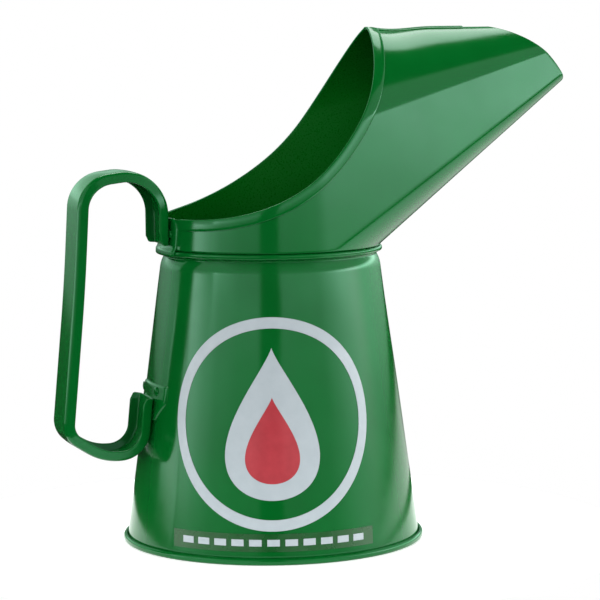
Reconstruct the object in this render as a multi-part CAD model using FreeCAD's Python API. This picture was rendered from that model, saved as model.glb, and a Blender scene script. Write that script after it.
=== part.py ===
import FreeCAD, Part
import math
import os

# Oil pourer jug: a tinplate jug with a tapered body, a hooded pouring spout that is open at
# the back, and a fixed strap handle.  Millimetres.  The origin is the centre of the resting
# face, +Z is up, +X is the way the spout pours, and the handle is at -X.

V = FreeCAD.Vector
Y_AXIS = V(0, 1, 0)
Z_AXIS = V(0, 0, 1)
CENTRE = V(0, 0, 0)

# Sheet metal
SHEET = 0.5                 # tinplate of the body, base and spout
HALF = SHEET / 2
WIDE = 300.0                # larger than the jug, for cutting tools

# Base and body
BASE_R = 62.5               # outside of the rolled base rim
BASE_SEAM_H = 2.8           # height of the rolled base rim
BASE_PAN_Z = 5.0            # middle of the recessed floor
BODY_FOOT_R = 60.35         # outside of the body's wall where it leaves the base rim
BODY_TOP_R = 45.55          # and where its taper ends
BODY_TOP_Z = 114.7
NECK_R = 44.0               # outside of the body where it is drawn in under the bead
NECK_Z = 118.4
SIDE_LAP_W = 6.0            # width of the body's side lap, on the inside at the back

# Neck joint
BEAD_R = 46.3               # outside of the neck bead
BEAD_LOW_Z = 120.4          # middle of the sheet under the bead
BEAD_TOP_Z = 121.95         # top of the bead
SPOUT_FOLD_R = 44.4         # outside of the groove above the bead
SPOUT_FOLD_Z = 122.3        # middle of the collar's flared foot
SPOUT_FLANGE_R = 45.2
SPOUT_FLANGE_Z = 121.12

# Spout
COLLAR_R = 45.8             # outside of the collar at its foot
COLLAR_LEAN = 0.09          # how far the collar leans in for each unit of height
HOOD_Z = 210.7              # height of the hood's ridge
APEX_X = 160.4              # the hood's straight lines all run towards this point
FOOT_Z = 122.5              # height at which the collar and the hood's front line start
SIDE_SLOPE = 0.284          # slope, seen from the apex, at which the sides start to curve over
SIDE_PULL = 0.436           # fullness of that curve beside the flat sides
RIDGE_PULL = 0.283          # and beside the ridge
RIDGE_PEAK = 0.03           # how far the ridge stands above a smooth top
TIP_SCALE = 0.12            # size of the hood's section at the far end of its straight lines
RIM_BACK_Z = 135.0          # height of the opening's rim at the back
RIM_TOP_X = 42.7            # where the opening's rim meets the ridge
RIM_LOW_PULL = 22.0         # the rim leaves the back level, then sweeps up to the ridge
RIM_TOP_LEAN = 16.3
RIM_TOP_PULL = 66.8
RIM_SPREAD = 0.46           # how much longer those pulls are along the hem's outer edge
MOUTH_TOP_X = 97.6          # where the mouth's edge meets the ridge
MOUTH_TIP_X = 129.6         # furthest reach of the pouring lip
MOUTH_BOW = 4.6             # how far the mouth's edge bows out from its chord
HEM_W = 4.6                 # width of the folded hem round the opening
HEM_GAP_W = 30.0            # the hem is cut away over this width for the handle's tab
RIDGE_LAP_W = 5.0           # width of the soldered lap along the ridge
RIDGE_LAP_END_X = 85.5      # where that lap is snipped off, short of the mouth

# Handle
STRAP_T = 0.9               # thickness of the handle's steel
STRAP_W = 20.0              # width across the channel's outside corners, over the top
COLLAR_STRAP_W = 26.0       # width where the strap meets the collar
HEEL_STRAP_W = 22.0         # width below the grip and on the body
LIP_D = 3.4                 # depth of the channel, from the outside of its web
LIP_SPLAY = 1.1             # how far each lip leans outwards
CHANNEL_BEND_R = 1.2        # middle of the bend between web and lip
TOP_COLLAR_Z = 155.4        # height of the top over the collar
TOP_GRIP_Z = 154.2          # and over the grip
LOW_GRIP_Z = 38.6           # height of the bottom under the grip
LOW_BODY_Z = 36.7           # and at the body
GRIP_TOP_X = -82.2          # outside of the grip, carried up to the height of the top
GRIP_LOW_X = -90.6          # and down to the height of the bottom
NECK_BEND_R = 18.8
TOP_BEND_R = 15.0
LOW_BEND_R = 17.5
HEEL_BEND_R = 13.0
TOP_LIP_LOW_Z = 125.8       # where the channel ends at the collar
LOW_LIP_TOP_Z = 61.8        # and on the body
TOP_TAB_W = 30.0            # flat tab welded to the collar
TOP_TAB_END_Z = 119.8       # it is stepped out to clear the neck bead
TOP_TAB_STEP_Z = 122.7
TOP_TAB_SHOULDER_Z = 132.0
TOP_TAB_ROOT_Z = 134.9
LOW_TAB_W = 28.0            # flat tab welded to the body
LOW_TAB_END_Z = 67.2
LOW_TAB_SHOULDER_Z = 58.0
LOW_TAB_ROOT_Z = 53.0
TAB_GAP = 0.05              # paint between each tab and the wall it is welded to
THIN_GAP = 0.02             # between a weld or print and what it lies on
WELD_H = 0.35
TOP_WELD = (1.6, 9.0, 128.4)    # radius, distance either side of the middle, height
LOW_WELD = (1.9, 9.4, 64.6)

# Applied artwork, in wrapped distances across and heights up the wall
ART_GAP = 0.05              # glue under the vinyl
ART_T = 0.12                # thickness of the vinyl
ART_TURN = 17.6             # the artwork faces this many degrees from -Y towards the handle
EMBLEM_Z = 55.0
EMBLEM_R = 42.0
EMBLEM_RING_W = 4.4
DROP_W = 21.0               # half width and half height of the emblem's drop
DROP_H = 30.0
CORE_W = 12.0               # and of the smaller drop on it
CORE_H = 17.0
CORE_DOWN = 6.5             # how far the smaller drop sits below the larger one
OUTLINE_STEPS = 24          # points on each curved outline
STRIPE_W = 87.0
STRIPE_LOW_Z = 5.2
STRIPE_HIGH_Z = 12.2
DASH_COUNT = 11
DASH_W = 5.0
DASH_PITCH = 7.2
DASH_H = 2.6


def line(a, b):
    return Part.LineSegment(a, b).toShape()


def bent_run(points, bends):
    """Edges along straight runs between XZ points, with a round bend at each inner point."""
    edges = []
    here = points[0]
    for before, corner, after, bend in zip(points, points[1:], points[2:], bends):
        into = (corner - before).normalize()
        out = (after - corner).normalize()
        half_turn = into.getAngle(out) / 2
        reach = bend * math.tan(half_turn)
        start = corner - into * reach
        end = corner + out * reach
        inward = (out - into).normalize()
        middle = corner + inward * (bend / math.cos(half_turn) - bend)
        if (start - here).Length > 1e-6:
            edges.append(line(here, start))
        if reach > 1e-6:
            edges.append(Part.Arc(start, middle, end).toShape())
        here = end
    edges.append(line(here, points[-1]))
    return edges


def beside(points, bends, offset):
    """A bent sheet's surface line, offset to the left of its middle line, and its bend radii."""
    lefts = []
    for a, b in zip(points, points[1:]):
        along = (b - a).normalize()
        lefts.append(V(-along.z, 0, along.x))
    moved = [points[0] + lefts[0] * offset]
    radii = []
    for corner, first, second, bend in zip(points[1:], lefts, lefts[1:], bends):
        moved.append(corner + (first + second) * (offset / (1 + first.dot(second))))
        turns_left = first.cross(second).y < 0
        radii.append(bend - offset if turns_left else bend + offset)
    moved.append(points[-1] + lefts[-1] * offset)
    return moved, radii


def sheet_face(outline, bends, thickness=SHEET):
    """Section of a bent sheet from the (x, z) points of its middle line and its bend radii."""
    points = [V(x, 0, z) for x, z in outline]
    left_points, left_radii = beside(points, bends, thickness / 2)
    right_points, right_radii = beside(points, bends, -thickness / 2)
    edges = bent_run(left_points, left_radii)
    edges += bent_run(right_points, right_radii)
    edges.append(line(left_points[0], right_points[0]))
    edges.append(line(left_points[-1], right_points[-1]))
    return Part.Face(Part.Wire(Part.sortEdges(edges)[0]))


def flat_face(outline):
    """Straight-sided face from (x, z) points."""
    return Part.Face(Part.makePolygon([V(x, 0, z) for x, z in outline + outline[:1]]))


def turned(face):
    """Solid of revolution of an XZ section about the vertical axis."""
    return face.revolve(CENTRE, Z_AXIS, 360)


def block(low, high):
    size = high - low
    return Part.makeBox(size.x, size.y, size.z, low)


# ---------------------------------------------------------------- base and body

ROLL_R = BASE_R - HALF                  # middle of the pan's outer wall
WALL_R = BODY_FOOT_R - HALF             # middle of the body's wall at the foot
LAYER = (ROLL_R - WALL_R) / 3           # from the middle of one rolled layer to the next
BODY_HOOK_R = ROLL_R - LAYER
COVER_HOOK_R = WALL_R + LAYER
CHUCK_R = WALL_R - SHEET - 0.05         # middle of the pan's inner wall
HOOK_LOW_Z = HALF + 0.75                # middle of the body's hook at its lowest
FOOT_BEND_Z = BASE_SEAM_H + 0.5         # the body's wall starts to taper here


def body_radius(z):
    """Outside radius of the tapered wall."""
    slope = (BODY_FOOT_R - BODY_TOP_R) / (BODY_TOP_Z - FOOT_BEND_Z)
    return BODY_TOP_R + slope * (BODY_TOP_Z - z)


def body_shell():
    """Tapered wall, hooked at the foot, drawn in at the neck and rolled over the spout's flange."""
    outline = [
        (BODY_HOOK_R, BASE_SEAM_H - SHEET - 0.1),
        (BODY_HOOK_R, HOOK_LOW_Z),
        (WALL_R, HOOK_LOW_Z),
        (WALL_R, FOOT_BEND_Z),
        (BODY_TOP_R - HALF, BODY_TOP_Z),
        (NECK_R - HALF, NECK_Z),
        (NECK_R - HALF, NECK_Z + 0.6),
        (BEAD_R - HALF, BEAD_LOW_Z),
        (BEAD_R - HALF, BEAD_TOP_Z - HALF),
        (SPOUT_FOLD_R + HALF + 0.05, BEAD_TOP_Z - HALF),
    ]
    bends = [0.6, 0.6, 4.0, 4.0, 0.6, 0.6, 0.3, 0.35]
    shell = turned(sheet_face(outline, bends))
    return shell.fuse(side_lap()).removeSplitter().Solids[0]


def side_lap():
    """The blank's overlap, a second layer inside the back of the wall."""
    low_z = BASE_SEAM_H + 4.0
    high_z = BODY_TOP_Z - 4.0
    low_r = body_radius(low_z) - SHEET
    high_r = body_radius(high_z) - SHEET
    section = flat_face([
        (low_r + 0.1, low_z),
        (high_r + 0.1, high_z),
        (high_r - SHEET, high_z),
        (low_r - SHEET, low_z),
    ])
    band = block(V(-BASE_R, -SIDE_LAP_W / 2, 0), V(0, SIDE_LAP_W / 2, BODY_TOP_Z))
    return turned(section).common(band)


def base_pan():
    """Recessed floor whose rim is folded round the body's hook; the jug stands on the fold."""
    outline = [
        (0, BASE_PAN_Z),
        (CHUCK_R, BASE_PAN_Z),
        (CHUCK_R, HALF),
        (ROLL_R, HALF),
        (ROLL_R, BASE_SEAM_H - HALF),
        (COVER_HOOK_R, BASE_SEAM_H - HALF),
        (COVER_HOOK_R, HOOK_LOW_Z + SHEET),
    ]
    bends = [1.2, 0.4, 0.7, 0.75, 0.65]
    return turned(sheet_face(outline, bends))


def base_seam_compound():
    """Sealing compound in the bottom of the base fold, under the body's hook."""
    low_z = SHEET + 0.03
    high_z = HOOK_LOW_Z - HALF - 0.03
    section = flat_face([
        (WALL_R, low_z),
        (BODY_HOOK_R - 0.5, low_z),
        (BODY_HOOK_R - 0.5, high_z),
        (WALL_R + 0.4, high_z),
    ])
    return turned(section)


def neck_seam_compound():
    """Sealing compound between the spout's flange and the neck bead."""
    high_z = SPOUT_FLANGE_Z - HALF - 0.03
    section = flat_face([
        (SPOUT_FOLD_R - 0.1, high_z),
        (SPOUT_FLANGE_R - 0.05, high_z),
        (SPOUT_FLANGE_R - 0.05, high_z - 0.15),
        (SPOUT_FOLD_R - 0.1, high_z - 0.3),
    ])
    return turned(section)


# ---------------------------------------------------------------- spout


def collar_radius(z):
    return COLLAR_R - COLLAR_LEAN * (z - FOOT_Z)


def hood_solid(grow):
    """Filled hood, grown by a wall offset, and the point and slope of the plane behind it.

    Its straight lines run from the collar's front and sides to the apex.  The flat sides touch
    the leaning collar along one of the collar's own straight lines.
    """
    radius = COLLAR_R + grow
    half_cone = math.atan2(HOOD_Z - FOOT_Z, APEX_X - COLLAR_R) / 2
    push = grow / math.sin(half_cone)
    apex = V(APEX_X + push * math.cos(half_cone), 0, HOOD_Z + push * math.sin(half_cone))
    touch = math.acos((radius - COLLAR_LEAN * (apex.z - FOOT_Z)) / apex.x)
    foot = V(radius * math.cos(touch), radius * math.sin(touch), FOOT_Z)
    lean = V(-COLLAR_LEAN * math.cos(touch), -COLLAR_LEAN * math.sin(touch), 1)
    side = foot + lean * (apex.z - FOOT_Z - SIDE_SLOPE * (apex.x - foot.x))
    rise = apex.z - side.z
    ridge = V(foot.x + lean.x * (apex.z - FOOT_Z), 0, apex.z)
    roof = [
        side,
        side + lean * (SIDE_PULL * rise),
        ridge + V(-lean.x * RIDGE_PEAK * rise, RIDGE_PULL * side.y, -RIDGE_PEAK * rise),
        ridge,
    ]
    edges = [
        Part.Arc(across(foot), V(radius, 0, FOOT_Z), foot).toShape(),
        line(foot, side),
        bezier(roof),
        bezier([across(pole) for pole in roof]),
        line(across(side), across(foot)),
    ]
    tips = [edge.copy().scale(TIP_SCALE, apex) for edge in edges]
    faces = [Part.makeRuledSurface(edge, tip) for edge, tip in zip(edges, tips)]
    for arc, *back in (edges, tips):
        chord = line(arc.Vertexes[0].Point, arc.Vertexes[-1].Point)
        faces.append(Part.Face(Part.Wire(Part.sortEdges([arc, chord])[0])))
        faces.append(Part.Face(Part.Wire(Part.sortEdges([chord] + back)[0])))
    shell = Part.Shell(faces)
    shell.sewShape()
    solid = Part.Solid(shell)
    if solid.Volume < 0:
        solid.reverse()
    return solid, foot.x, lean.x


def across(point):
    """The same point on the other side of the jug."""
    return V(point.x, -point.y, point.z)


def bezier(poles):
    curve = Part.BezierCurve()
    curve.setPoles(poles)
    return curve.toShape()


def spout_envelope(grow):
    """Filled collar and hood, grown by a wall offset."""
    hood, foot_x, slope = hood_solid(grow)
    height = 60.0
    radius = COLLAR_R + grow
    collar = Part.makeCone(radius, radius - COLLAR_LEAN * height, height, V(0, 0, FOOT_Z))
    behind = flat_face([
        (-WIDE, FOOT_Z),
        (foot_x, FOOT_Z),
        (foot_x + slope * height, FOOT_Z + height),
        (-WIDE, FOOT_Z + height),
    ])
    return collar.common(through(behind)).fuse(hood)


def through(face):
    """A prism right across the jug from an XZ face."""
    return face.extrude(V(0, 2 * WIDE, 0)).translated(V(0, -WIDE, 0))


def opening_tool(drop):
    """Everything behind and above the opening's rim, moved down and forward by drop."""
    lean = V(RIM_TOP_LEAN, 0, RIM_TOP_PULL).normalize()
    reach = math.hypot(RIM_TOP_LEAN, RIM_TOP_PULL)
    first = V(-collar_radius(RIM_BACK_Z), 0, RIM_BACK_Z - drop)
    last = V(RIM_TOP_X + lean.z * drop, 0, HOOD_Z - lean.x * drop)
    spread = RIM_SPREAD * drop
    rim = bezier([
        first,
        first + V(RIM_LOW_PULL + spread, 0, 0),
        last - lean * (reach + spread),
        last,
    ])
    start = first + V(-20, 0, 0)
    end = last + lean * 20
    corners = [end, V(end.x, 0, WIDE), V(-WIDE, 0, WIDE), V(-WIDE, 0, start.z), start]
    edges = [line(start, first), rim, line(last, end)]
    edges += [line(a, b) for a, b in zip(corners, corners[1:])]
    return through(Part.Face(Part.Wire(Part.sortEdges(edges)[0])))


def front_line_z(x):
    """Height of the hood's front line."""
    return FOOT_Z + (HOOD_Z - FOOT_Z) * (x - COLLAR_R) / (APEX_X - COLLAR_R)


def mouth_tool():
    """Everything in front of the mouth's bowed edge."""
    top = V(MOUTH_TOP_X, 0, HOOD_Z)
    tip = V(MOUTH_TIP_X, 0, front_line_z(MOUTH_TIP_X))
    chord = (tip - top).normalize()
    outward = V(-chord.z, 0, chord.x)
    middle = (top + tip) * 0.5 + outward * MOUTH_BOW
    arc = Part.Arc(top, middle, tip)
    start_way = arc.tangent(arc.FirstParameter)[0]
    end_way = arc.tangent(arc.LastParameter)[0]
    before = top - start_way * 20
    after = tip + end_way * 20
    corners = [after, V(WIDE, 0, after.z), V(WIDE, 0, WIDE), V(before.x, 0, WIDE), before]
    edges = [line(before, top), arc.toShape(), line(tip, after)]
    edges += [line(a, b) for a, b in zip(corners, corners[1:])]
    return through(Part.Face(Part.Wire(Part.sortEdges(edges)[0])))


def spout_flange():
    """The collar's foot: flared, folded in to a groove and flanged out under the neck bead."""
    outline = [
        (COLLAR_R - HALF, FOOT_Z + 0.4),
        (COLLAR_R, SPOUT_FOLD_Z),
        (SPOUT_FOLD_R - HALF, SPOUT_FOLD_Z),
        (SPOUT_FOLD_R - HALF, SPOUT_FLANGE_Z),
        (SPOUT_FLANGE_R, SPOUT_FLANGE_Z),
    ]
    bends = [0.26, 0.3, 0.3]
    return turned(sheet_face(outline, bends))


def spout_hem(skin):
    """Folded edge: a second layer outside the skin, along the opening's rim."""
    layer = spout_envelope(SHEET).cut(skin)
    band = layer.cut(opening_tool(0)).common(opening_tool(HEM_W))
    tab_gap = block(V(-WIDE, -HEM_GAP_W / 2, 0), V(0, HEM_GAP_W / 2, WIDE))
    return band.cut(tab_gap)


def ridge_lap(skin):
    """Soldered lap along the ridge, a second layer from the hem towards the mouth."""
    layer = spout_envelope(SHEET).cut(skin)
    strip = block(
        V(RIM_TOP_X, -RIDGE_LAP_W / 2, HOOD_Z - 10),
        V(RIDGE_LAP_END_X, RIDGE_LAP_W / 2, HOOD_Z + 10),
    )
    return layer.common(strip)


def spout_shell():
    skin = spout_envelope(0)
    wall = skin.cut(spout_envelope(-SHEET))
    wall = wall.cut(opening_tool(0))
    shell = wall.fuse([spout_hem(skin), ridge_lap(skin), spout_flange()])
    return shell.cut(mouth_tool()).Solids[0]


# ---------------------------------------------------------------- handle


def handle_route():
    """Outside line of the strap's web, from the collar over the top and down to the body."""
    outside = [
        (-COLLAR_R - TAB_GAP, TOP_LIP_LOW_Z),
        (-COLLAR_R - TAB_GAP, TOP_COLLAR_Z),
        (GRIP_TOP_X, TOP_GRIP_Z),
        (GRIP_LOW_X, LOW_GRIP_Z),
        (-body_radius(LOW_BODY_Z) - TAB_GAP, LOW_BODY_Z),
        (-body_radius(LOW_LIP_TOP_Z) - TAB_GAP, LOW_LIP_TOP_Z),
    ]
    bends = [NECK_BEND_R, TOP_BEND_R, LOW_BEND_R, HEEL_BEND_R]
    return [V(x, 0, z) for x, z in outside], bends


def channel_section(width, at, along):
    """Closed section of the strap, lying across its route with the lips inside the loop."""
    web = (width - STRAP_T) / 2
    lip = web + LIP_SPLAY
    outline = [(-lip, LIP_D), (-web, STRAP_T / 2), (web, STRAP_T / 2), (lip, LIP_D)]
    section = sheet_face(outline, [CHANNEL_BEND_R, CHANNEL_BEND_R], STRAP_T)
    inward = V(-along.z, 0, along.x)
    section.Placement = FreeCAD.Placement(at, FreeCAD.Rotation(Y_AXIS, -along, inward, "XZY"))
    return section


def strap_runs():
    """The channel along each straight and bend of its route, changing width on the straights."""
    points, bends = handle_route()
    over = (COLLAR_STRAP_W + STRAP_W) / 2
    widths = [COLLAR_STRAP_W, over, STRAP_W, HEEL_STRAP_W, HEEL_STRAP_W, HEEL_STRAP_W]
    runs = []
    for edge in bent_run(points, bends):
        start = edge.valueAt(edge.FirstParameter)
        along = edge.tangentAt(edge.FirstParameter)
        section = channel_section(widths[0], start, along)
        if isinstance(edge.Curve, Part.Circle):
            turn = math.degrees(edge.Length / edge.Curve.Radius)
            runs.append(section.revolve(edge.Curve.Center, -Y_AXIS, turn))
        else:
            widths.pop(0)
            end = channel_section(widths[0], start + along * edge.Length, along)
            loops = [section.OuterWire, end.OuterWire]
            runs.append(Part.makeLoft(loops, True, True))
    return runs


def wall_skin(wall_radius, low_z, high_z, gap, thickness):
    """A layer lying on the outside of a round wall, a small gap clear of it."""
    low_r = wall_radius(low_z) + gap
    high_r = wall_radius(high_z) + gap
    return turned(flat_face([
        (low_r, low_z),
        (low_r + thickness, low_z),
        (high_r + thickness, high_z),
        (high_r, high_z),
    ]))


def tab(skin, width, end_z, shoulder_z, root_z):
    """Flat end of the strap, cut from a skin on a wall and narrowed from its shoulders up."""
    half_tab = width / 2
    half_strap = STRAP_W / 2
    outline = [
        V(0, -half_tab, end_z),
        V(0, -half_tab, shoulder_z),
        V(0, -half_strap, root_z),
        V(0, half_strap, root_z),
        V(0, half_tab, shoulder_z),
        V(0, half_tab, end_z),
    ]
    face = Part.Face(Part.makePolygon(outline + outline[:1]))
    return skin.common(face.extrude(V(-WIDE, 0, 0)))


def top_tab():
    """Tab on the collar, stepped out over the neck bead below it."""
    over_bead = BEAD_R + TAB_GAP + STRAP_T / 2
    on_collar = collar_radius(TOP_TAB_STEP_Z) + TAB_GAP + STRAP_T / 2
    root_r = collar_radius(TOP_TAB_ROOT_Z) + TAB_GAP + STRAP_T / 2
    outline = [
        (over_bead, TOP_TAB_END_Z),
        (over_bead, TOP_TAB_STEP_Z),
        (on_collar, TOP_TAB_STEP_Z + STRAP_T),
        (root_r, TOP_TAB_ROOT_Z),
    ]
    skin = turned(sheet_face(outline, [1.0, 1.0], STRAP_T))
    return tab(skin, TOP_TAB_W, TOP_TAB_END_Z, TOP_TAB_SHOULDER_Z, TOP_TAB_ROOT_Z)


def low_tab():
    """Tab on the body's tapered wall."""
    skin = wall_skin(body_radius, LOW_TAB_ROOT_Z, LOW_TAB_END_Z, TAB_GAP, STRAP_T)
    return tab(skin, LOW_TAB_W, LOW_TAB_END_Z, LOW_TAB_SHOULDER_Z, LOW_TAB_ROOT_Z)


def handle_strap():
    """Channel strap whose two flat tabs are welded to the collar and to the body."""
    runs = strap_runs()
    strap = runs[0].fuse(runs[1:] + [top_tab(), low_tab()])
    return strap.removeSplitter().Solids[0]


def weld_buttons(wall_radius, weld):
    """A pair of flattened buttons of metal on the outside of a tab."""
    radius, aside, height = weld
    gap = TAB_GAP + STRAP_T + THIN_GAP
    skin = wall_skin(wall_radius, height - 2 * radius, height + 2 * radius, gap, WELD_H)
    buttons = []
    for side in (-aside, aside):
        reach = wall_radius(height)
        outward = V(-math.sqrt(reach ** 2 - side ** 2), side, 0)
        pin = Part.makeCylinder(radius, WIDE, V(0, 0, height), outward)
        buttons.append(skin.common(pin).Solids[0])
    return buttons


def handle_spot_welds():
    return Part.Compound(weld_buttons(collar_radius, TOP_WELD) + weld_buttons(body_radius, LOW_WELD))


# ---------------------------------------------------------------- applied artwork


def on_wall(across, z):
    """Flat view, from the way the artwork faces, of a point wrapped round the wall."""
    radius = body_radius(z)
    return V(radius * math.sin(across / radius), 0, z)


def artwork(outline, gap, thickness):
    """Vinyl inside a closed outline, wrapped on the wall and turned to face its way."""
    box = outline.BoundBox
    skin = wall_skin(body_radius, box.ZMin - 2, box.ZMax + 2, gap, thickness)
    patch = skin.common(outline.extrude(V(0, -WIDE, 0))).Solids[0]
    patch.rotate(CENTRE, Z_AXIS, -ART_TURN)
    return patch


def smooth(points):
    curve = Part.BSplineCurve()
    curve.interpolate(points)
    return curve.toShape()


def round_outline(radius):
    """Face inside a circle that has been wrapped round the wall."""
    halves = []
    for turn in (0, math.pi):
        points = []
        for step in range(OUTLINE_STEPS + 1):
            angle = turn + math.pi * step / OUTLINE_STEPS
            points.append(on_wall(radius * math.sin(angle), EMBLEM_Z + radius * math.cos(angle)))
        halves.append(smooth(points))
    return Part.Face(Part.Wire(halves))


def drop_outline(half_width, half_height, down):
    """Face inside an oil drop, pointed at the top and round below."""
    points = []
    for step in range(OUTLINE_STEPS + 1):
        angle = 2 * math.pi * step / OUTLINE_STEPS
        across = 1.3 * half_width * math.sin(angle) * math.sin(angle / 2) ** 1.5
        points.append(on_wall(across, EMBLEM_Z - down + half_height * math.cos(angle)))
    return Part.Face(Part.Wire(smooth(points)))


def bar_outline(middle, width, low_z, high_z):
    """Face of an upright-ended bar wrapped round the wall."""
    left = middle - width / 2
    right = middle + width / 2
    corners = [
        on_wall(left, low_z),
        on_wall(right, low_z),
        on_wall(right, high_z),
        on_wall(left, high_z),
    ]
    return Part.Face(Part.makePolygon(corners + corners[:1]))


def emblem_ring():
    hoop = round_outline(EMBLEM_R).cut(round_outline(EMBLEM_R - EMBLEM_RING_W)).Faces[0]
    return artwork(hoop, ART_GAP, ART_T)


def emblem_drop():
    return artwork(drop_outline(DROP_W, DROP_H, 0), ART_GAP, ART_T)


def emblem_core():
    """Second colour, on top of the large drop."""
    gap = ART_GAP + ART_T + THIN_GAP
    return artwork(drop_outline(CORE_W, CORE_H, CORE_DOWN), gap, ART_T / 2)


def stripe_film():
    return artwork(bar_outline(0, STRIPE_W, STRIPE_LOW_Z, STRIPE_HIGH_Z), ART_GAP, ART_T)


def stripe_print():
    """A row of plain dashes on the film."""
    gap = ART_GAP + ART_T + THIN_GAP
    middle_z = (STRIPE_LOW_Z + STRIPE_HIGH_Z) / 2
    dashes = []
    for index in range(DASH_COUNT):
        middle = (index - (DASH_COUNT - 1) / 2) * DASH_PITCH
        outline = bar_outline(middle, DASH_W, middle_z - DASH_H / 2, middle_z + DASH_H / 2)
        dashes.append(artwork(outline, gap, ART_T / 2))
    return Part.Compound(dashes)


# ---------------------------------------------------------------- nodes

NODES = {
    "body_shell": body_shell,
    "base_pan": base_pan,
    "base_seam_compound": base_seam_compound,
    "neck_seam_compound": neck_seam_compound,
    "spout_shell": spout_shell,
    "handle_strap": handle_strap,
    "handle_spot_welds": handle_spot_welds,
    "emblem_ring": emblem_ring,
    "emblem_drop": emblem_drop,
    "emblem_core": emblem_core,
    "stripe_film": stripe_film,
    "stripe_print": stripe_print,
}

os.makedirs("parts", exist_ok=True)
for name, make in NODES.items():
    make().exportStep(f"parts/{name}.step")
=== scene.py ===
import math

import bmesh
import bpy
import numpy as np
from mathutils import Matrix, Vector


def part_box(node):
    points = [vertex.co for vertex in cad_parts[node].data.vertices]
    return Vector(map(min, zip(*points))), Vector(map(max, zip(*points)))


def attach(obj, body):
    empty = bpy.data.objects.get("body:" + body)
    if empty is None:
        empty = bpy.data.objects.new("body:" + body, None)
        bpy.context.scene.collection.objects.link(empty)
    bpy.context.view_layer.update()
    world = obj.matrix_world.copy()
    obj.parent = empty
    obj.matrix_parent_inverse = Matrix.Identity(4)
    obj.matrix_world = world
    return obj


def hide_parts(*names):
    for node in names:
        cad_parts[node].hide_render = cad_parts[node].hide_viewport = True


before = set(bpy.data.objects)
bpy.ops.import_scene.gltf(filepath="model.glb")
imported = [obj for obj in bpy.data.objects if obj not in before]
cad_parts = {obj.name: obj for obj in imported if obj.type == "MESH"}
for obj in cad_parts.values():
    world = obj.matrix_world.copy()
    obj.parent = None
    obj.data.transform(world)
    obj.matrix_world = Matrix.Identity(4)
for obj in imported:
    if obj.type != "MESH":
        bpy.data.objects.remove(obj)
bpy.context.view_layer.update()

# The looks of a tinplate oil pourer: a tapered body on a rolled base, a hooded spout with a
# folded hem, a channel-section strap handle and wrapped vinyl artwork.  Shapes are worked out
# in millimetres, in the frame's axes, and are put into metres when their meshes are made.

MM = 0.001


def side(node, low_or_high, axis):
    """One side of a CAD node's box, in millimetres."""
    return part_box(node)[low_or_high]["xyz".index(axis)] / MM


# Body and base: radii are to the outside of the sheet
SHEET = 0.5
BASE_R = side("base_pan", 1, "x")
BASE_PAN_Z = side("base_pan", 1, "z") - SHEET / 2
BASE_SEAM_H = side("base_pan", 1, "z") - 2.45
FOOT_R = BASE_R - 2.0               # the body's wall where it leaves the base rim
BODY_TOP_R = 45.31                  # and where its taper ends
BODY_TOP_Z = 115.6
NECK_R = 44.0
NECK_Z = 118.3
NECK_H = 0.7
BEAD_R = 46.3
BEAD_H = 1.55
BEAD_TOP_Z = side("body_shell", 1, "z") - 0.25
RIPPLE = 0.045                      # unevenness of the rolled wall
INNER_LAP_HALF_W = 3.0
INNER_LAP_T = 0.5
INNER_LAP_LOW_Z = 7
INNER_LAP_TOP_Z = 110
SINK = 0.05                         # what lies on the sheet reaches this far into it

# Spout: straight lines run from the collar and from the hood's section to the apex
COLLAR_R = 45.8
COLLAR_LEAN = 0.09
COLLAR_Z = BEAD_TOP_Z + 0.8
GROOVE_R = 44.4
FLANGE_R = 45.2
HOOD_Z = side("spout_shell", 1, "z") - SHEET
APEX = np.array([160.4, 0.0, HOOD_Z])
# The section's side is straight up to SIDE; the pulls shape the curve from there to the ridge
SIDE_SLOPE = 0.284
SIDE_PULL = 0.436
RIDGE_PULL = 0.283
RIDGE_PEAK = 0.03
# The rim of the opening, seen from the side, is one curve from the back to the ridge
RIM_BACK_Z = 134.8
RIM_TOP_X = 42.7
RIM_LOW_PULL = 22.0
RIM_TOP = np.array([16.3, 66.8])
RIM_SPREAD = 0.46
MOUTH_TOP_X = 97.6
MOUTH_TIP_X = side("spout_shell", 1, "x") - 0.1
MOUTH_BOW = 4.6
RIM_DROP = 0.5                      # the sheet's own edge lies this far inside the rolled hem
HEM_W = 4.6
HEM_ROLL = 0.52
HEM_GAP = 14.4                      # half of the gap left in the hem for the handle's tab
HEM_LIFT = 0.35                     # rise of the hem's last stretch, at the ridge
LAP_HALF_W = 2.5
LAP_END_X = 85.5
SAG = 0.95                          # dip in the ridge between the rim and the lap's end
SAG_LENGTH = 30.0
SAG_DEPTH = 14.0                    # the dip has died out this far below the ridge
SIDE_WAVE = 0.06                    # unevenness of the hood's sides, which starts at a height
SIDE_WAVE_Z = 140.0

# Handle: a channel with its lips turned in to the loop, and a plate on the wall at each end.
# Its loop is a little fuller than the plain CAD strap's
STRAP_T = 0.9
STRAP_WEB_HALF_W = 9.55
STRAP_BEND_R = 1.25
STRAP_LIP = 3.4
LIP_ROOT = 0.6
LIP_SPLAY = 1.1
STRAP_CROWN = 0.22
STRAP_START_Z = 124.0               # the end on the collar
STRAP_END_Z = 61.8                  # and the end on the body
COLLAR_WALL_Z = 125.8               # the strap runs straight up from the collar, clear of it here
COLLAR_CLEAR = 0.35
STRAP_TOP_RISE = 0.4                # the top falls from the collar's side to the grip's
STRAP_TOP_FALL = 3.9
STRAP_TOP_Z = side("handle_strap", 1, "z") + 1.5
STRAP_LOW_Z = side("handle_strap", 0, "z") - 0.3
GRIP_X = side("handle_strap", 0, "x") - 2.0
GRIP_TOP_IN = 8.6                   # the grip leans out from its top to its foot, with a slight bow
GRIP_BOW_IN = 5.9
GRIP_BOW_Z = 108.0
GRIP_FOOT_RISE = 10.2
FOOT_SLANT_RUN = 15.5
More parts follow.
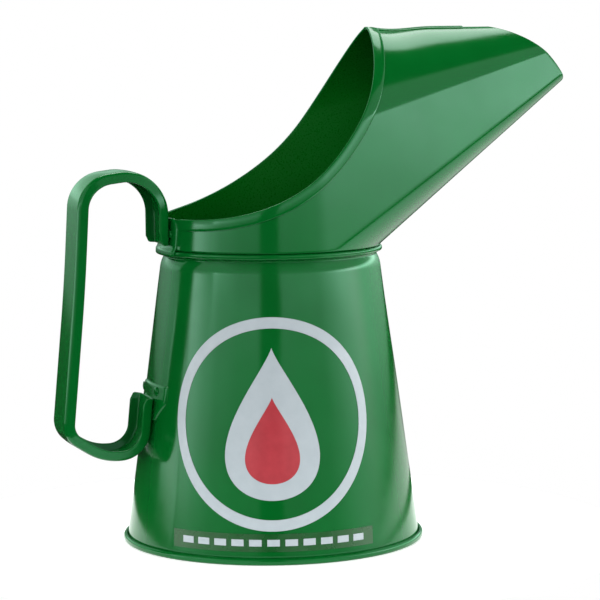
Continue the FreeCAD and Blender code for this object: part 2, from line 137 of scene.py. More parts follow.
LOW_BEND_WALL_Z = 36.7              # the lower bend's corner lies under the wall at this height
STRAP_WIDTHS = [(0, 20.6), (24, 20.6), (62, 20.2), (92, 20.0), (150, 20.0)]
STRAP_END_W = 20.4
STRAP_END_LENGTH = 45
TAB_GAP = 0.05
TAB_SLOPE_W = 1.5
TAB_END_HALF_W = 10.0
TOP_TAB_HALF_W = 13.4
LOW_TAB_HALF_W = 13.8
LOW_TAB_ASIDE = -3.2                # the lower plate sits off the middle
WELDS = [(128.4, 9.0, 1.6), (64.6, 9.4, 1.9)]       # (height, distance aside, radius)
WELD_H = 0.55

# Artwork
ART_TURN = math.radians(17.6)
EMBLEM_Z = 55.2
EMBLEM_R = 42.0
EMBLEM_RING_W = 4.4
DROP_HALF_W = 21.0
DROP_HALF_H = 30.0
CORE_HALF_W = 12.0
CORE_HALF_H = 17.0
CORE_DOWN = 6.5                     # the core's middle below the drop's
STRIPE_W = 87.0
STRIPE_Z = (5.2, 12.2)
DASHES = 11
DASH_PITCH = 7.2
DASH_W = 5.0
DASH_Z = (7.4, 10.0)
# Lower and upper face of each film, measured off the wall
VINYL = (0.04, 0.15)
CORE_INK = (0.16, 0.21)
BACKING = (0.04, 0.12)
DASH_INK = (0.13, 0.19)

# Fineness of the meshes
BEND_STEP = 0.30
RUN_STEP = 4.0
TURN_STEPS = 320
COLLAR_LINES = 110
SIDE_LINES = 48
FRONT_LINES = 60
HOOD_STEPS = 90
HEM_STATIONS = 260

OUTSIDE, INSIDE = 0, 1              # places in a piece's list of materials


# ---------------------------------------------------------------- mesh tools


def steps_between(points):
    return np.linalg.norm(np.diff(points, axis=0), axis=1)


def lengths_along(points):
    return np.concatenate([[0], np.cumsum(steps_between(points))])


def rounded(corners, radii, step=BEND_STEP, gap=RUN_STEP):
    """Points and unit directions along a path with round bends, close together in the bends."""
    corners = [np.array(c, float) for c in corners]
    points, ways = [], []

    def run(a, b):
        length = np.linalg.norm(b - a)
        if length < 1e-6:
            return
        way = (b - a) / length
        near = min(0.35, length / 4)
        inner = np.linspace(near, length - near, max(2, int(length / gap) + 1))
        for reach in [0.0, *inner, length]:
            points.append(a + way * reach)
            ways.append(way)

    here = corners[0]
    for before, corner, after, radius in zip(corners, corners[1:], corners[2:], radii):
        into = (corner - before) / np.linalg.norm(corner - before)
        out = (after - corner) / np.linalg.norm(after - corner)
        turn = math.acos(float(np.clip(into @ out, -1, 1)))
        reach = radius * math.tan(turn / 2)
        run(here, corner - into * reach)
        bends_left = into[0] * out[1] - into[1] * out[0] > 0
        left = np.array([-into[1], into[0]]) * (1 if bends_left else -1)
        centre = corner - into * reach + left * radius
        count = max(4, int(radius * turn / step))
        for part in range(1, count):
            angle = turn * part / count
            points.append(centre - left * radius * math.cos(angle) + into * radius * math.sin(angle))
            ways.append(into * math.cos(angle) + left * math.sin(angle))
        here = corner + out * reach
    run(here, corners[-1])
    points, ways = np.array(points), np.array(ways)
    fresh = np.concatenate([[True], steps_between(points) > 1e-6])
    return points[fresh], ways[fresh]


def sheet_sides(corners, radii, thickness=SHEET):
    """Both surface lines of a bent sheet, and the directions along it."""
    points, ways = rounded(corners, radii)
    across = np.stack([-ways[:, 1], ways[:, 0]], 1) * thickness / 2
    return points + across, points - across, ways


def round_end(a, b, way):
    """The inner points of a half circle from a to b that bulges along way."""
    middle, half = (a + b) / 2, (a - b) / 2
    bulge = way * np.linalg.norm(half)
    angles = np.linspace(0, math.pi, 6)[1:-1]
    return [middle + half * math.cos(t) + bulge * math.sin(t) for t in angles]


def closed_sheet(corners, radii, thickness=SHEET):
    """Closed outline of a bent sheet with rounded edges."""
    left, right, ways = sheet_sides(corners, radii, thickness)
    start = round_end(right[0], left[0], -ways[0])
    end = round_end(left[-1], right[-1], ways[-1])
    return np.array([*left, *end, *right[::-1], *start])


class Builder:
    """Collects grids of points and makes one welded mesh of them."""

    def __init__(self):
        self.points = []
        self.faces = []
        self.kinds = []

    def grid(self, rows, kind=OUTSIDE, closed_rows=False, closed_columns=False, cap=False):
        """A grid of quads; cap adds a flat end to a grid of closed rows."""
        rows = np.asarray(rows, float)
        count, width, _ = rows.shape
        base = len(self.points)
        self.points.extend(rows.reshape(-1, 3))
        for i in range(count if closed_columns else count - 1):
            for j in range(width if closed_rows else width - 1):
                i2, j2 = (i + 1) % count, (j + 1) % width
                quad = (i * width + j, i * width + j2, i2 * width + j2, i2 * width + j)
                self.faces.append([base + index for index in quad])
                self.kinds.append(kind)
        if cap:
            for row in (0, count - 1):
                self.faces.append([base + row * width + j for j in range(width)])
                self.kinds.append(kind)

    def both_sides(self, rows, kind=OUTSIDE, **options):
        """A grid and its mirror image across the jug."""
        rows = np.asarray(rows, float)
        self.grid(rows, kind, **options)
        self.grid(rows * [1, -1, 1], kind, **options)

    def make(self, name, materials, nodes, sharp=38):
        mesh = bpy.data.meshes.new(name)
        mesh.from_pydata((np.array(self.points) * MM).tolist(), [], self.faces)
        mesh.polygons.foreach_set("material_index", self.kinds)
        shape = bmesh.new()
        shape.from_mesh(mesh)
        bmesh.ops.remove_doubles(shape, verts=shape.verts, dist=2e-7)
        bmesh.ops.dissolve_degenerate(shape, dist=1e-8, edges=shape.edges)
        bmesh.ops.recalc_face_normals(shape, faces=shape.faces)
        shape.to_mesh(mesh)
        shape.free()
        mesh.shade_smooth()
        mesh.set_sharp_from_angle(angle=math.radians(sharp))
        for material in materials:
            mesh.materials.append(material)
        piece = bpy.data.objects.new(name, mesh)
        bpy.context.scene.collection.objects.link(piece)
        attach(piece, "root")
        if nodes:
            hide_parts(*nodes)
        return piece


def turned(profile, unevenness=None):
    """Rows of points of a profile turned round the vertical axis."""
    rows = []
    for angle in np.linspace(0, 2 * math.pi, TURN_STEPS, endpoint=False):
        radius = profile[:, 0].copy()
        if unevenness:
            radius += unevenness(angle, profile[:, 1])
        rows.append(np.stack([radius * math.cos(angle), radius * math.sin(angle), profile[:, 1]], 1))
    return np.array(rows)


# ---------------------------------------------------------------- materials


def shader(name, colour, roughness, **inputs):
    material = bpy.data.materials.new(name)
    material.use_nodes = True
    principled = material.node_tree.nodes["Principled BSDF"]
    principled.inputs["Base Color"].default_value = (*colour, 1)
    principled.inputs["Roughness"].default_value = roughness
    for socket, value in inputs.items():
        principled.inputs[socket.replace("_", " ")].default_value = value
    return material, principled


def noise(tree, scale, detail=3.0):
    """Noise over object coordinates, which are the frame's metres."""
    place = tree.nodes.new("ShaderNodeTexCoord")
    texture = tree.nodes.new("ShaderNodeTexNoise")
    texture.inputs["Scale"].default_value = scale
    texture.inputs["Detail"].default_value = detail
    texture.inputs["Roughness"].default_value = 0.55
    tree.links.new(place.outputs["Object"], texture.inputs["Vector"])
    return texture.outputs["Fac"]


def ramp(tree, value, low, high, stops):
    """A value between low and high mapped to colours or greys."""
    node = tree.nodes.new("ShaderNodeValToRGB")
    node.color_ramp.elements[0].position = low
    node.color_ramp.elements[1].position = high
    for element, stop in zip(node.color_ramp.elements, stops):
        element.color = (*stop, 1) if len(stop) == 3 else (stop[0], stop[0], stop[0], 1)
    tree.links.new(value, node.inputs["Fac"])
    return node.outputs["Color"]


def bumps(tree, principled, *layers):
    """Stacked bumps, each a (value, strength, distance in metres)."""
    previous = None
    for value, strength, distance in layers:
        bump = tree.nodes.new("ShaderNodeBump")
        bump.inputs["Strength"].default_value = strength
        bump.inputs["Distance"].default_value = distance
        tree.links.new(value, bump.inputs["Height"])
        if previous:
            tree.links.new(previous, bump.inputs["Normal"])
        previous = bump.outputs["Normal"]
    tree.links.new(previous, principled.inputs["Normal"])


def enamel():
    """Deep green gloss paint with a faint orange peel and thin, scuffed places."""
    material, principled = shader(
        "enamel", (0.0005, 0.090, 0.0115), 0.13, IOR=1.5, Specular_Tint=(0.48, 1.0, 0.76, 1))
    tree = material.node_tree
    cloud = noise(tree, 26.0)
    colours = ((0.0004, 0.083, 0.010), (0.0006, 0.098, 0.013))
    tree.links.new(ramp(tree, cloud, 0.35, 0.65, colours), principled.inputs["Base Color"])
    smear = noise(tree, 60.0, 5.0)
    tree.links.new(ramp(tree, smear, 0.3, 0.75, ((0.10,), (0.17,))), principled.inputs["Roughness"])
    peel = noise(tree, 700.0, 1.0)
    flow = noise(tree, 45.0, 1.0)
    bumps(tree, principled, (flow, 0.25, 0.00012), (peel, 0.06, 0.00002))
    return material


def inner_enamel():
    """The same paint inside, thinner and drier, with a grain of overspray."""
    material, principled = shader(
        "inner_enamel", (0.0006, 0.095, 0.005), 0.3, IOR=1.5, Specular_Tint=(0.40, 1.0, 0.50, 1))
    tree = material.node_tree
    cloud = noise(tree, 18.0)
    colours = ((0.0005, 0.082, 0.003), (0.0010, 0.110, 0.007))
    tree.links.new(ramp(tree, cloud, 0.3, 0.7, colours), principled.inputs["Base Color"])
    grain = noise(tree, 1400.0, 2.0)
    tree.links.new(ramp(tree, grain, 0.3, 0.7, ((0.20,), (0.45,))), principled.inputs["Roughness"])
    spatter = noise(tree, 800.0, 2.0)
    bumps(tree, principled, (spatter, 0.30, 0.00008))
    return material


def film(name, dark, light, roughness):
    """Printed vinyl: nearly even colour, a soft sheen and faint wrinkles."""
    material, principled = shader(name, light, roughness, Coat_Weight=0.25, Coat_Roughness=0.12)
    tree = material.node_tree
    cloud = noise(tree, 220.0, 4.0)
    tree.links.new(ramp(tree, cloud, 0.3, 0.7, (dark, light)), principled.inputs["Base Color"])
    rub = noise(tree, 90.0, 5.0)
    stops = ((roughness - 0.06,), (roughness + 0.12,))
    tree.links.new(ramp(tree, rub, 0.3, 0.75, stops), principled.inputs["Roughness"])
    wrinkle = noise(tree, 130.0, 2.0)
    bumps(tree, principled, (wrinkle, 0.25, 0.00010))
    return material


def compound():
    """Dull, slightly crumbly sealing compound."""
    material, principled = shader("compound", (0.10, 0.095, 0.085), 0.75)
    tree = material.node_tree
    cloud = noise(tree, 400.0, 4.0)
    colours = ((0.07, 0.066, 0.06), (0.14, 0.13, 0.12))
    tree.links.new(ramp(tree, cloud, 0.3, 0.7, colours), principled.inputs["Base Color"])
    bumps(tree, principled, (noise(tree, 900.0), 0.4, 0.0001))
    return material


ENAMEL = enamel()
INNER = inner_enamel()
PALE = film("pale_film", (0.355, 0.410, 0.440), (0.385, 0.440, 0.470), 0.34)
RED = film("red_ink", (0.34, 0.016, 0.026), (0.40, 0.022, 0.034), 0.36)
GREEN_FILM = film("green_film", (0.0005, 0.055, 0.006), (0.0010, 0.070, 0.010), 0.26)
COMPOUND = compound()


# ---------------------------------------------------------------- body and base

ROLL_R = BASE_R - SHEET / 2
WALL_R = FOOT_R - SHEET / 2
LAYER = (ROLL_R - WALL_R) / 3
HOOK_LOW_Z = SHEET / 2 + 0.75
TAPER_Z = BASE_SEAM_H + 0.5


def body_radius(z):
    return BODY_TOP_R + (FOOT_R - BODY_TOP_R) * (BODY_TOP_Z - z) / (BODY_TOP_Z - TAPER_Z)


def ripple(angle, z):
    """Faint unevenness of the rolled wall, gone at its seams."""
    fade = np.clip((z - 6) / 12, 0, 1) * np.clip((114 - z) / 10, 0, 1)
    waves = np.sin(3 * angle + z / 21 + 0.6) + 0.7 * np.sin(7 * angle - z / 13 + 2.1)
    waves = waves + 0.5 * np.sin(12 * angle + z / 9 + 4.0)
    return RIPPLE * fade * waves


def inner_lap():
    """The lap that closes the body, down the inside of its back."""
    edge = INNER_LAP_HALF_W
    half = [(-edge, 0), (-edge, INNER_LAP_T - 0.1), (0.2 - edge, INNER_LAP_T)]
    section = half + [(-y, depth) for y, depth in half[::-1]]
    rows = []
    for z in np.linspace(INNER_LAP_LOW_Z, INNER_LAP_TOP_Z, 30):
        row = []
        for y, depth in section:
            reach = body_radius(z) - SHEET + SINK - depth
            row.append((-math.sqrt(reach ** 2 - y ** 2), y, z))
        rows.append(row)
    return rows


def make_body():
    corners = [
        (ROLL_R - LAYER, BASE_SEAM_H - SHEET - 0.1),
        (ROLL_R - LAYER, HOOK_LOW_Z),
        (WALL_R, HOOK_LOW_Z),
        (WALL_R, TAPER_Z),
        (BODY_TOP_R - SHEET / 2, BODY_TOP_Z),
        (NECK_R - SHEET / 2, NECK_Z),
        (NECK_R - SHEET / 2, NECK_Z + NECK_H),
        (BEAD_R - SHEET / 2, BEAD_TOP_Z - BEAD_H),
        (BEAD_R - SHEET / 2, BEAD_TOP_Z - SHEET / 2),
        (GROOVE_R + SHEET / 2 + 0.05, BEAD_TOP_Z - SHEET / 2 - 0.1),
    ]
    profile = closed_sheet(corners, [0.6, 0.6, 4.0, 12.0, 0.8, 0.8, 0.5, 0.5])
    builder = Builder()
    builder.grid(turned(profile, ripple), closed_rows=True, closed_columns=True)
    width = len(profile)
    # The outline starts with the inner line; its two half circles have four points each
    facing_in = np.arange(width) < width // 2 - 4
    inside = facing_in & (profile[:, 1] > TAPER_Z) & (profile[:, 1] < NECK_Z)
    for index in range(len(builder.faces)):
        if inside[index % width]:
            builder.kinds[index] = INSIDE
    builder.grid(inner_lap(), INSIDE, closed_rows=True, cap=True)
    return builder.make("body", [ENAMEL, INNER], ["body_shell"])


def make_base():
    chuck_r = WALL_R - SHEET - 0.05
    corners = [
        (0, BASE_PAN_Z),
        (chuck_r, BASE_PAN_Z),
        (chuck_r, SHEET / 2),
        (ROLL_R, SHEET / 2),
        (ROLL_R, BASE_SEAM_H - SHEET / 2),
        (ROLL_R - 2 * LAYER, BASE_SEAM_H - SHEET / 2),
        (ROLL_R - 2 * LAYER, HOOK_LOW_Z + SHEET),
    ]
    left, right, ways = sheet_sides(corners, [1.2, 0.4, 0.8, 0.95, 0.65])
    edge = round_end(left[-1], right[-1], ways[-1])
    builder = Builder()
    builder.grid(turned(np.array([*left, *edge, *right[::-1]])), closed_columns=True)
    return builder.make("base", [ENAMEL], ["base_pan"])


# ---------------------------------------------------------------- spout

FOOT_ANGLE = math.acos((COLLAR_R - COLLAR_LEAN * (HOOD_Z - COLLAR_Z)) / APEX[0])
FOOT = np.array([COLLAR_R * math.cos(FOOT_ANGLE), COLLAR_R * math.sin(FOOT_ANGLE), COLLAR_Z])
LEAN = np.array([-COLLAR_LEAN * math.cos(FOOT_ANGLE), -COLLAR_LEAN * math.sin(FOOT_ANGLE), 1.0])
SIDE = FOOT + LEAN * (HOOD_Z - COLLAR_Z - SIDE_SLOPE * (APEX[0] - FOOT[0]))
RISE = HOOD_Z - SIDE[2]
RIDGE = np.array([FOOT[0] + LEAN[0] * (HOOD_Z - COLLAR_Z), 0.0, HOOD_Z])
ROOF = np.array([
    SIDE,
    SIDE + LEAN * SIDE_PULL * RISE,
    RIDGE + [-LEAN[0] * RIDGE_PEAK * RISE, RIDGE_PULL * SIDE[1], -RIDGE_PEAK * RISE],
    RIDGE,
])


def bezier(poles, t):
    """Points and directions of a cubic curve."""
    t = np.asarray(t, float)[:, None]
    a, b, c, d = poles
    points = a * (1 - t) ** 3 + 3 * b * t * (1 - t) ** 2 + 3 * c * t ** 2 * (1 - t) + d * t ** 3
    ways = 3 * ((b - a) * (1 - t) ** 2 + 2 * (c - b) * t * (1 - t) + (d - c) * t ** 2)
    return points, ways


def unit(vectors):
    return vectors / np.linalg.norm(vectors, axis=-1, keepdims=True)


def rim_line(drop):
    """The opening's rim seen from the side, moved down and forward, as x and z samples."""
    lean = RIM_TOP / np.linalg.norm(RIM_TOP)
    reach = np.linalg.norm(RIM_TOP)
    first = np.array([-(COLLAR_R - COLLAR_LEAN * (RIM_BACK_Z - COLLAR_Z)), RIM_BACK_Z - drop])
    last = np.array([RIM_TOP_X + lean[1] * drop, HOOD_Z - lean[0] * drop])
    spread = RIM_SPREAD * drop
    poles = [first, first + [RIM_LOW_PULL + spread, 0], last - lean * (reach + spread), last]
    points = bezier(np.array(poles), np.linspace(0, 1, 400))[0]
    return np.concatenate([[first - [30, 0]], points, [last + lean * 30]])


def roof_start(steps):
    """Points on the hood's section from the foot over to the ridge, and their directions."""
    share = np.linalg.norm(SIDE - FOOT)
    up = np.linspace(0, 1, steps)[:, None]
    straight = FOOT + (SIDE - FOOT) * up
    curve, ways = bezier(ROOF, np.linspace(0, 1, 2 * steps)[1:])
    points = np.concatenate([straight, curve])
    return points, np.concatenate([np.tile(LEAN * share, (steps, 1)), ways])


def hood_normals(points, ways):
    normals = unit(np.cross(ways, APEX - points))
    normals[np.abs(points[:, 1]) < 1e-6, 1] = 0
    normals = unit(normals)
    flip = normals[:, 1] + normals[:, 2] * 0.001 < 0
    normals[flip] *= -1
    return normals


def hood_rim(points, drop):
    """How far along its line to the apex each section point meets the rim."""
    line = rim_line(drop)
    low, high = np.zeros(len(points)), np.full(len(points), 0.5)
    for _ in range(40):
        middle = (low + high) / 2
        at = points + (APEX - points) * middle[:, None]
        above = at[:, 2] > np.interp(at[:, 0], line[:, 0], line[:, 1])
        low, high = np.where(above, middle, low), np.where(above, high, middle)
    return low


def collar_rim(angles, drop):
    """Height at which each line of the collar meets the rim."""
    line = rim_line(drop)
    z = np.full(len(angles), RIM_BACK_Z - drop)
    for _ in range(60):
        x = (COLLAR_R - COLLAR_LEAN * (z - COLLAR_Z)) * np.cos(angles)
        z = np.interp(x, line[:, 0], line[:, 1])
    return z


def collar_at(angles, z):
    radius = COLLAR_R - COLLAR_LEAN * (z - COLLAR_Z)
    return np.stack([radius * np.cos(angles), radius * np.sin(angles), z + 0 * radius], -1)


def collar_normals(angles):
    steady = np.full(len(angles), COLLAR_LEAN)
    return unit(np.stack([np.cos(angles), np.sin(angles), steady], -1))


def rim_path(drop):
    """The rim on the spout's outside, from the handle's tab to the ridge, with its normals."""
    back_r = COLLAR_R - COLLAR_LEAN * (RIM_BACK_Z - COLLAR_Z)
    start = math.pi - math.asin(HEM_GAP / back_r)
    angles = np.linspace(start, FOOT_ANGLE, 240)
    collar = collar_at(angles, collar_rim(angles, drop))
    section, ways = roof_start(200)
    beyond = section[:, 2] > collar[-1, 2] + 1e-4
    section, ways = section[beyond], ways[beyond]
    t = hood_rim(section, drop)
    hood = section + (APEX - section) * t[:, None]
    points = np.concatenate([collar, hood])
    normals = np.concatenate([collar_normals(angles), hood_normals(section, ways)])
    length = lengths_along(points)
    even = np.linspace(0, length[-1], HEM_STATIONS)
    pick = [np.interp(even, length, column) for column in np.concatenate([points, normals], 1).T]
    return np.stack(pick[:3], 1), unit(np.stack(pick[3:], 1))


def mouth_reach(points):
    """How far along its line to the apex each point meets the mouth's bowed edge."""
    top = np.array([MOUTH_TOP_X, HOOD_Z])
    rise = (HOOD_Z - COLLAR_Z) / (APEX[0] - COLLAR_R)
    tip = np.array([MOUTH_TIP_X, COLLAR_Z + rise * (MOUTH_TIP_X - COLLAR_R)])
    half = np.linalg.norm(tip - top) / 2
    radius = (half ** 2 + MOUTH_BOW ** 2) / (2 * MOUTH_BOW)
    chord = (tip - top) / (2 * half)
    centre = (top + tip) / 2 - np.array([-chord[1], chord[0]]) * (radius - MOUTH_BOW)
    start = points[:, [0, 2]] - centre
    way = (APEX - points)[:, [0, 2]]
    a = (way ** 2).sum(1)
    b = (start * way).sum(1)
    c = (start ** 2).sum(1) - radius ** 2
    return (-b + np.sqrt(b * b - a * c)) / a


def settle(points):
    """The finished spout's small faults: a dip in the ridge and faintly uneven sides."""
    points = np.array(points, float)
    x, y, z = points[..., 0], points[..., 1], points[..., 2]
    along = np.clip((x - RIM_TOP_X) / SAG_LENGTH, 0, 1) ** 0.75
    near = np.clip(1 - (HOOD_Z - z) / SAG_DEPTH, 0, 1) ** 2
    dip = SAG * np.sin(math.pi * along) ** 2 * near
    waves = SIDE_WAVE * np.sin(x / 11 + z / 17 + 1.0) * np.clip((z - SIDE_WAVE_Z) / 30, 0, 1)
    points[..., 1] += waves * np.sign(y) * np.clip(np.abs(y) / 10, 0, 1)
    points[..., 2] -= dip
    return points


def edge_round(outer, inner, out):
    """Half-round edge between the two surfaces of a sheet; out points away from the sheet."""
    middle, half = (outer + inner) / 2, (outer - inner) / 2
    size = np.linalg.norm(half, axis=-1, keepdims=True)
    angles = np.linspace(0, math.pi, 7)
    return np.array([middle + half * math.cos(t) + out * size * math.sin(t) for t in angles])


def ends_in_plane(vectors):
    """Unit vectors, the first and last of them turned into the jug's middle plane."""
    vectors[[0, -1], 1] = 0
    return unit(vectors)


def collar_surfaces(angles):
    """Upright lines behind the hood, up to the rim: outer side, inner side and normals."""
    shares = np.linspace(0, 1, SIDE_LINES)[:, None]
    heights = COLLAR_Z + shares * (collar_rim(angles, RIM_DROP) - COLLAR_Z)
    outer = np.array([collar_at(angles, z) for z in heights])
    normals = collar_normals(angles)
    return outer, outer - normals * SHEET, normals


def hood_surfaces(front, side_line):
    """Lines towards the apex from the front of the collar, up its side and along the rim."""
    front_points = collar_at(front, np.full(FRONT_LINES, COLLAR_Z))
    front_ways = np.stack([-np.sin(front), np.cos(front), 0 * front], 1)
    section, ways = roof_start(60)
    beyond = section[:, 2] > side_line[-1, 2] + 0.3
    section, ways = section[beyond], ways[beyond]
    rim_points = section + (APEX - section) * hood_rim(section, RIM_DROP)[:, None]
    starts = np.concatenate([front_points, side_line[1:], rim_points])
    directions = np.concatenate([front_ways, np.tile(LEAN, (SIDE_LINES - 1, 1)), ways])
    normals = ends_in_plane(unit(np.cross(directions, APEX - starts)))
    ends = mouth_reach(starts)
    shares = np.linspace(0, 1, HOOD_STEPS)
    outer = np.array([starts + (APEX - starts) * (ends * share)[:, None] for share in shares])
    return outer, outer - normals * SHEET, normals


def mouth_edge(hood):
    outer, inner, normals = hood
    out = unit(np.cross(normals, np.gradient(outer[-1], axis=0)))
    out *= np.sign((out * (APEX - outer[0])).sum(1, keepdims=True))
    return edge_round(outer[-1], inner[-1], ends_in_plane(out))


def rim_edge(collar, hood):
    """The opening's edge, from the back to the ridge."""
    first = FRONT_LINES + SIDE_LINES - 1
    outer, inner = (np.concatenate([collar[i][-1, ::-1], hood[i][0, first:]]) for i in (0, 1))
    normals = np.concatenate([collar[2][::-1], hood[2][first:]])
    out = unit(np.cross(np.gradient(outer, axis=0), normals))
    out *= np.sign(out[:, 2:] - out[:, :1])
    return edge_round(outer, inner, ends_in_plane(out))


def collar_foot(collar, hood, around):
    """The collar's lower end, folded in to a groove and flanged out under the bead."""
    fold = COLLAR_Z - 0.45
    under = BEAD_TOP_Z - 0.6
    groove_in = GROOVE_R - SHEET
    path = [
        (COLLAR_R - 0.06, fold + 0.2),
        (COLLAR_R - 0.25, fold + 0.03),
        (GROOVE_R + 0.35, fold),
        (GROOVE_R + 0.08, fold - 0.1),
        (GROOVE_R, fold - 0.35),
        (GROOVE_R, under + 0.1),
        (GROOVE_R + 0.1, under),
        (FLANGE_R, under),
        (FLANGE_R, under - SHEET),
        (GROOVE_R - 0.2, under - SHEET),
        (groove_in, under - 0.2),
        (groove_in, fold + 0.1),
        (GROOVE_R - 0.3, fold + 0.42),
        (COLLAR_R - SHEET - 0.2, fold + 0.55),
    ]
    rows = [np.stack([r * np.cos(around), r * np.sin(around), z + 0 * around], 1) for r, z in path]
    start, end = (np.concatenate([hood[i][0, :FRONT_LINES], collar[i][0, 1:]]) for i in (0, 1))
    return [start, *rows, end]


def make_spout():
    angles = np.linspace(FOOT_ANGLE, math.pi, COLLAR_LINES)
    front = np.linspace(0, FOOT_ANGLE, FRONT_LINES)
    collar = collar_surfaces(angles)
    hood = hood_surfaces(front, collar[0][:, 0])
    builder = Builder()
    for outer, inner, _ in (collar, hood):
        builder.both_sides(settle(outer))
        builder.both_sides(settle(inner), INSIDE)
    builder.both_sides(settle(mouth_edge(hood)))
    builder.both_sides(settle(rim_edge(collar, hood)))
    builder.both_sides(settle(collar_foot(collar, hood, np.concatenate([front, angles[1:]]))))
    return builder.make("spout", [ENAMEL, INNER], ["spout_shell"])


def make_hem():
    """Folded edge of the opening, a strip on each side that rolls over the rim."""
    roll = HEM_ROLL
    profile = [(HEM_W, -0.1), (HEM_W, 0.25), (HEM_W - 0.12, 0.42), (HEM_W - 0.4, roll)]
    profile += [(HEM_W - 1.2, roll + 0.04), (HEM_W - 2.2, roll + 0.08), (HEM_W - 3.2, roll + 0.05)]
    for angle in np.linspace(math.pi / 2, -math.pi / 2, 11):
        profile.append((roll - roll * math.cos(angle), roll * math.sin(angle)))
    profile += [(0.8, -0.3), (0.9, -0.1)]
    strips = []
    for drop, height in profile:
        points, normals = rim_path(drop)
        strips.append(points + normals * height)
    # The hem stops just short of the ridge, and its last stretch lifts
    rows = np.array(strips).transpose(1, 0, 2)[:-3]
    curl = np.clip(np.arange(len(rows)) - (len(rows) - 7), 0, 7) / 7
    rows = rows + curl[:, None, None] ** 2 * np.array([0.0, 0.0, HEM_LIFT])
    builder = Builder()
    builder.both_sides(settle(rows), closed_rows=True, cap=True)
    return builder.make("hem", [ENAMEL], [], sharp=50)


def ridge_at(x, y):
    """Point and normal of the hood near the ridge, at a place seen from above."""
    section, ways = bezier(ROOF, np.linspace(0.55, 1, 200))
    share = (x - section[:, 0]) / (APEX[0] - section[:, 0])
    widths = section[:, 1] * (1 - share)
    index = int(np.argmin(np.abs(widths - abs(y))))
    low, high = max(index - 1, 0), min(index + 1, len(widths) - 1)
    t = np.interp(abs(y), widths[[high, index, low]], [high, index, low])
    pick = np.array([np.interp(t, np.arange(len(widths)), column) for column in section.T])
    way = np.array([np.interp(t, np.arange(len(widths)), column) for column in ways.T])
    point = pick + (APEX - pick) * (x - pick[0]) / (APEX[0] - pick[0])
    normal = unit(np.cross(way, APEX - pick))
    normal = normal if normal[2] > 0 else -normal
    if abs(y) < 1e-6:
        normal = unit(normal * [1, 0, 1])
    return point * [1, np.sign(y) if y else 0, 1], normal * [1, np.sign(y) if y else 0, 1]


def make_ridge_lap():
    """Soldered lap along the ridge, from just under the hem to its snipped end."""
    edge = LAP_HALF_W
    half = [(-edge, -0.1), (-edge, 0.2), (0.15 - edge, 0.36), (0.5 - edge, 0.42), (-1.2, 0.45)]
    profile = [*half, (0, 0.47), *((-y, height) for y, height in half[::-1])]
    rows = []
    for x in np.linspace(RIM_TOP_X + 0.4, LAP_END_X, 60):
        shrink = 1 - 0.25 * np.clip((x - LAP_END_X + 2) / 2, 0, 1) ** 2
        row = []
        for y, height in profile:
            point, normal = ridge_at(x, y * shrink)
            row.append(point + normal * height)
        rows.append(row)
    builder = Builder()
    builder.grid(settle(rows), closed_rows=True, cap=True)
    return builder.make("ridge_lap", [ENAMEL], [])


# ---------------------------------------------------------------- handle


def wall_r(z):
    """Outside radius of whatever the handle's end lies on."""
    if z < BODY_TOP_Z:
        return body_radius(z)
    return COLLAR_R - COLLAR_LEAN * (z - COLLAR_Z)


def handle_route():
    """The middle of the strap's web, as x and z, from the collar round to the body."""
    half = STRAP_T / 2
    top_z, low_z = STRAP_TOP_Z - half, STRAP_LOW_Z + half
    grip_x = GRIP_X + half
    collar_x = -wall_r(COLLAR_WALL_Z) - TAB_GAP - half - COLLAR_CLEAR
    route = [
        (collar_x, STRAP_START_Z),
        (collar_x, top_z + STRAP_TOP_RISE),
        (grip_x + GRIP_TOP_IN, top_z - STRAP_TOP_FALL),
        (grip_x + GRIP_BOW_IN, GRIP_BOW_Z),
        (grip_x, low_z + GRIP_FOOT_RISE),
        (grip_x + FOOT_SLANT_RUN, low_z),
        (-wall_r(LOW_BEND_WALL_Z) - TAB_GAP - half, low_z),
        (-wall_r(STRAP_END_Z) - TAB_GAP - STRAP_T - half, STRAP_END_Z),
    ]
    bends = [17.4, 14.6, 900.0, 10.0, 23.0, 12.2]
    return rounded(route, bends, step=0.9, gap=2.5)


def strap_widths(length):
    """The strap's width at each length along it, with soft changes."""
    total = length[-1]
    ends = [(total - STRAP_END_LENGTH, STRAP_END_W), (total, STRAP_END_W)]
    stations, widths = zip(*STRAP_WIDTHS, *ends)
    widths = np.pad(np.interp(length, stations, widths), 12, mode="edge")
    return np.convolve(widths, np.ones(25) / 25, mode="valid")


def make_handle():
    points, ways = handle_route()
    length = lengths_along(points)
    web = STRAP_WEB_HALF_W
    flat = web - 1.6
    corners = [(-web - LIP_SPLAY, STRAP_LIP), (-web, 0.0), (web, 0.0), (web + LIP_SPLAY, STRAP_LIP)]
    section_y, section_depth = closed_sheet(corners, [STRAP_BEND_R, STRAP_BEND_R], STRAP_T).T
    crown = STRAP_CROWN * np.clip(1 - (section_y / web) ** 2, 0, 1)
    rows = []
    for place, way, width, at in zip(points, ways, strap_widths(length), length):
        inward = np.array([-way[1], way[0]])
        # The lips are lower at the strap's two ends, and the web takes up a change of width
        lip_share = 0.45 + 0.55 * min(1.0, min(at, length[-1] - at) / 2.2) ** 0.5
        wider = (width - STRAP_T) / 2 - web
        stretched = section_y * (flat + wider) / flat
        moved = section_y + np.sign(section_y) * wider
        across = np.where(np.abs(section_y) < flat, stretched, moved)
        lip = LIP_ROOT + (section_depth - LIP_ROOT) * lip_share
        depth = np.where(section_depth > LIP_ROOT, lip, section_depth) - crown
        rows.append(np.stack([place[0] + inward[0] * depth, across, place[1] + inward[1] * depth], 1))
    builder = Builder()
    builder.grid(rows, closed_rows=True, cap=True)
    add_tab(builder, top_tab_line(), TOP_TAB_HALF_W, 0.0)
    add_tab(builder, low_tab_line(), LOW_TAB_HALF_W, LOW_TAB_ASIDE)
    return builder.make("handle", [ENAMEL], ["handle_strap"], sharp=42)


